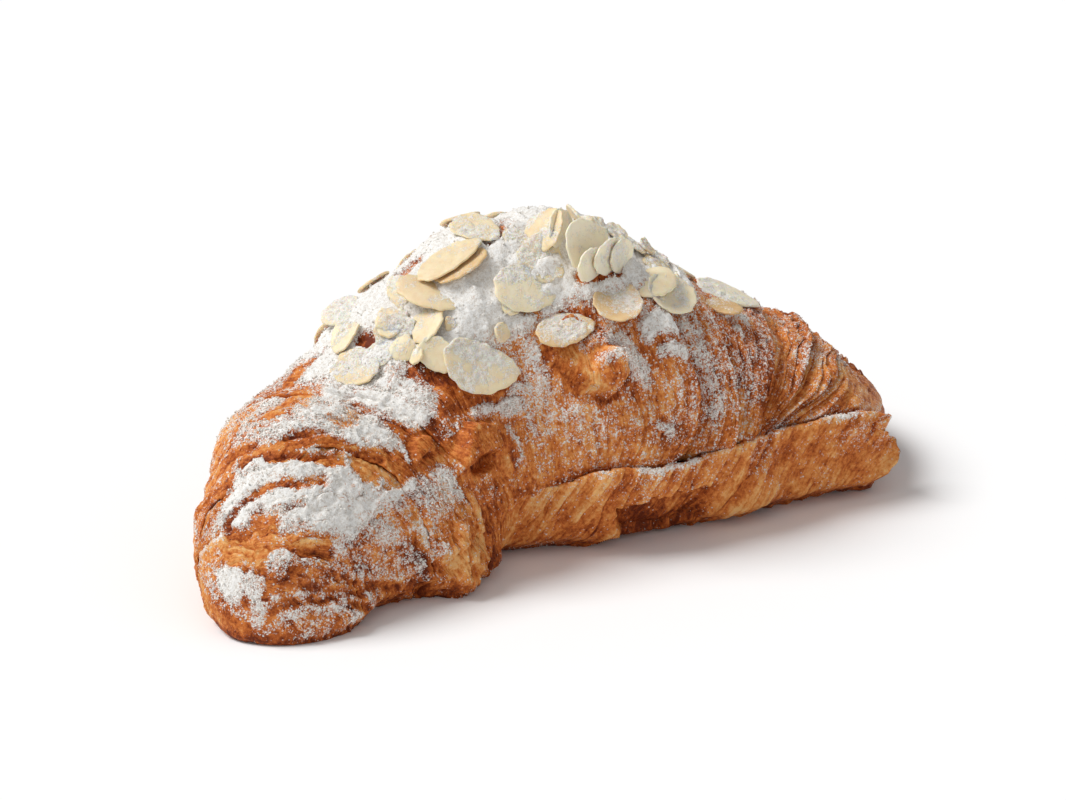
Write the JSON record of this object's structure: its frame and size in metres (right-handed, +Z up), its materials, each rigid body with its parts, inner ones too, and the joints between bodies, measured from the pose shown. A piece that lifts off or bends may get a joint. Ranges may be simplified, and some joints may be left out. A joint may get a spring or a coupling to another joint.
{
  "type": "almond croissant",
  "caption": "Crescent roll of layered pastry with a slit along its front side and flaked almonds baked onto its top, lying on a flat base.",
  "frame": {"origin": "middle of the plan outline, on the surface that the flat base rests on", "axes": "+X from the drooping end to the blunt end, -Y towards the side with the slit, +Z up"},
  "size_m": [0.1852, 0.0802, 0.0733],
  "materials": {
    "crust": "baked golden-brown pastry, dusted with powdered sugar"
  },
  "bodies": {
    "root": {"croissant": "crust"}
  },
  "joints": []
}
